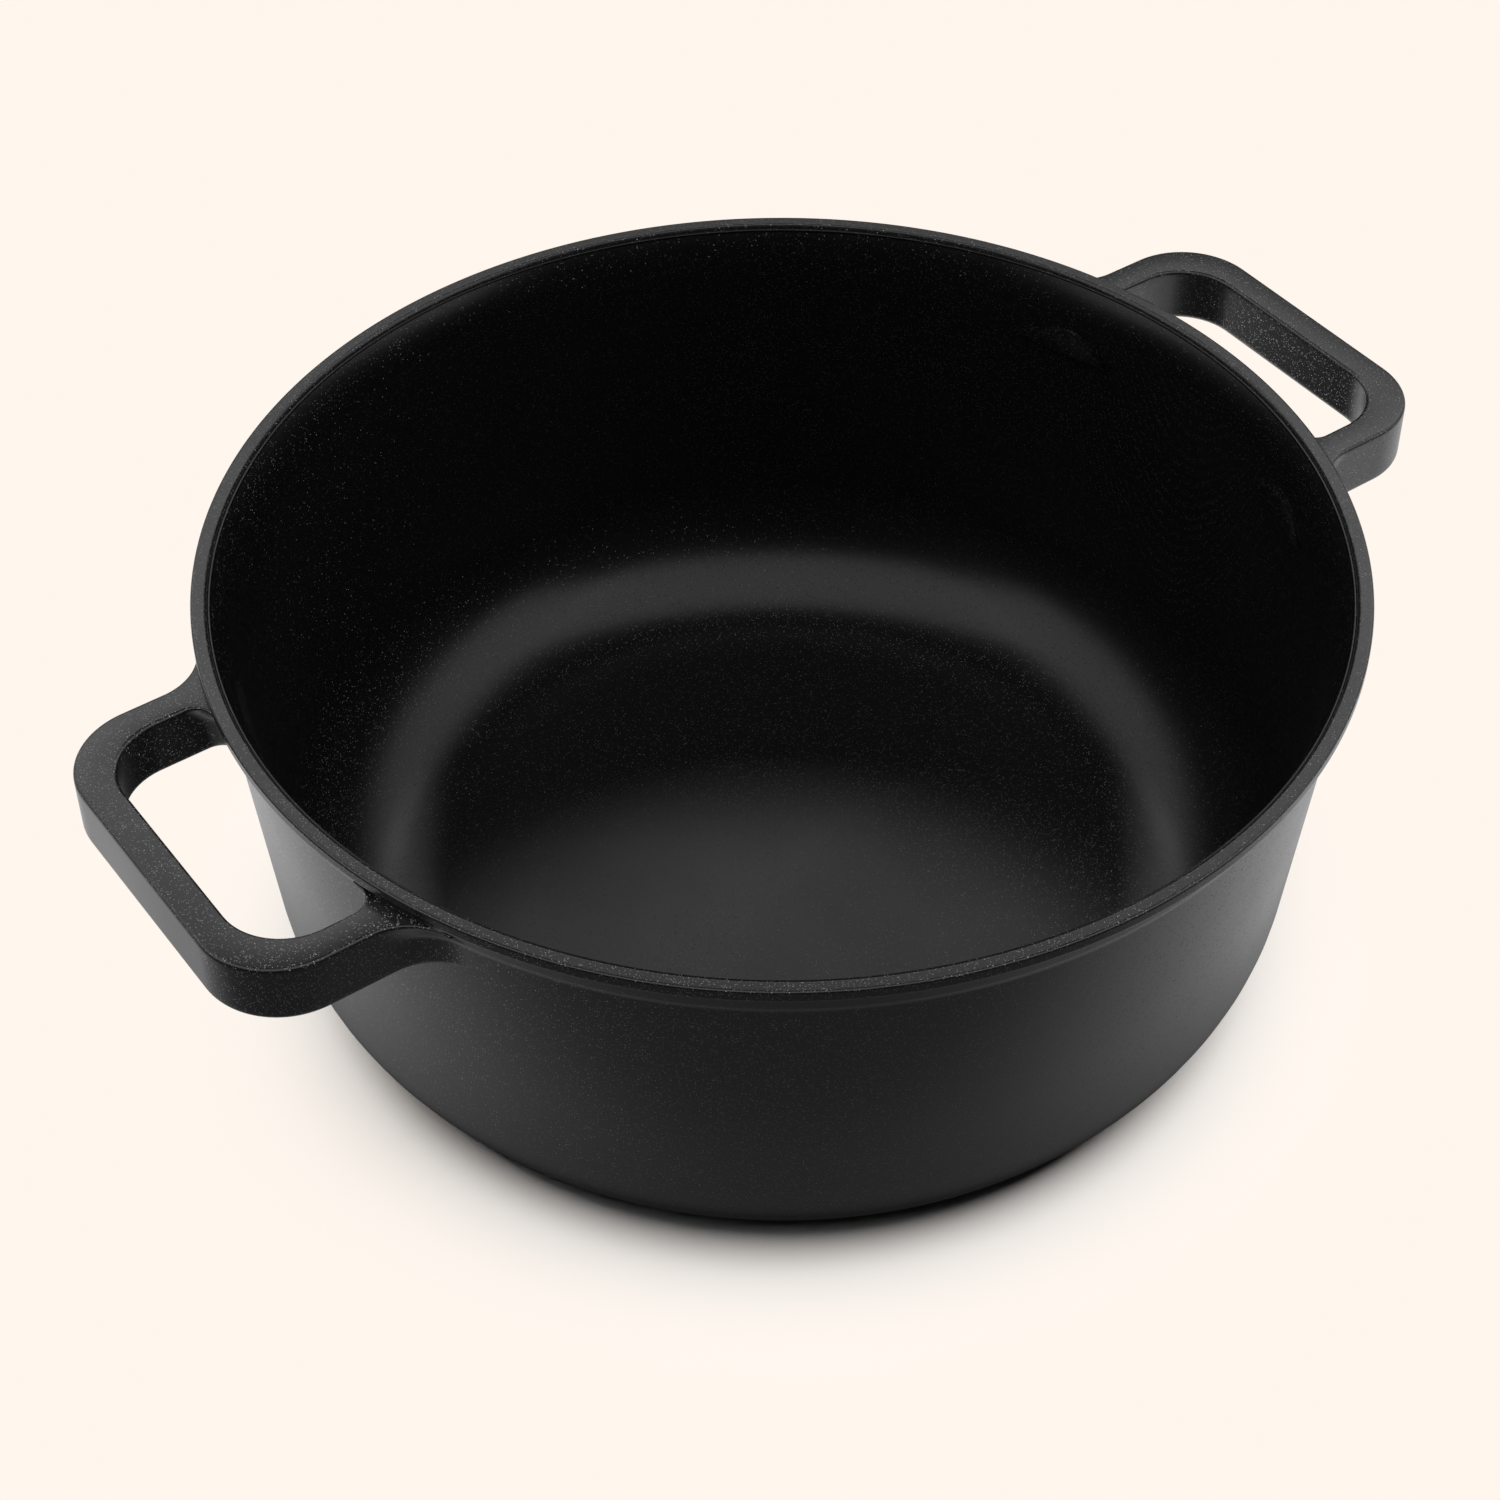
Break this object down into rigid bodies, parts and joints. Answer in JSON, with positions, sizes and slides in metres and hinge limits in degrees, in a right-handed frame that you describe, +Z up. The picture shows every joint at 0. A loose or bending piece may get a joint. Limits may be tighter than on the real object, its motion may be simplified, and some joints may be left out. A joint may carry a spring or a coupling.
{
  "type": "dutch oven",
  "caption": "Round cast iron dutch oven without a lid: deep open pot with a low flared rim, large-radius base, and a cast-on loop handle on each side, coated black inside and out.",
  "frame": {"origin": "centre of the plane that the pot stands on, on the pot's axis", "axes": "+Z up along the pot's axis, out of its mouth; +X through the two handles, from left_handle to right_handle"},
  "size_m": [0.319, 0.26, 0.109],
  "materials": {
    "bare_iron": "satin",
    "coated_iron": "satin",
    "outer_coat": "satin",
    "inner_coat": "satin"
  },
  "bodies": {
    "root": {"base_floor": "bare_iron", "base_corner": "bare_iron", "side_wall": "bare_iron", "rim_lip": "bare_iron", "foot_ring": "bare_iron", "left_handle": "coated_iron", "right_handle": "coated_iron", "outer_coat": "outer_coat", "inner_coat": "inner_coat"}
  },
  "joints": []
}
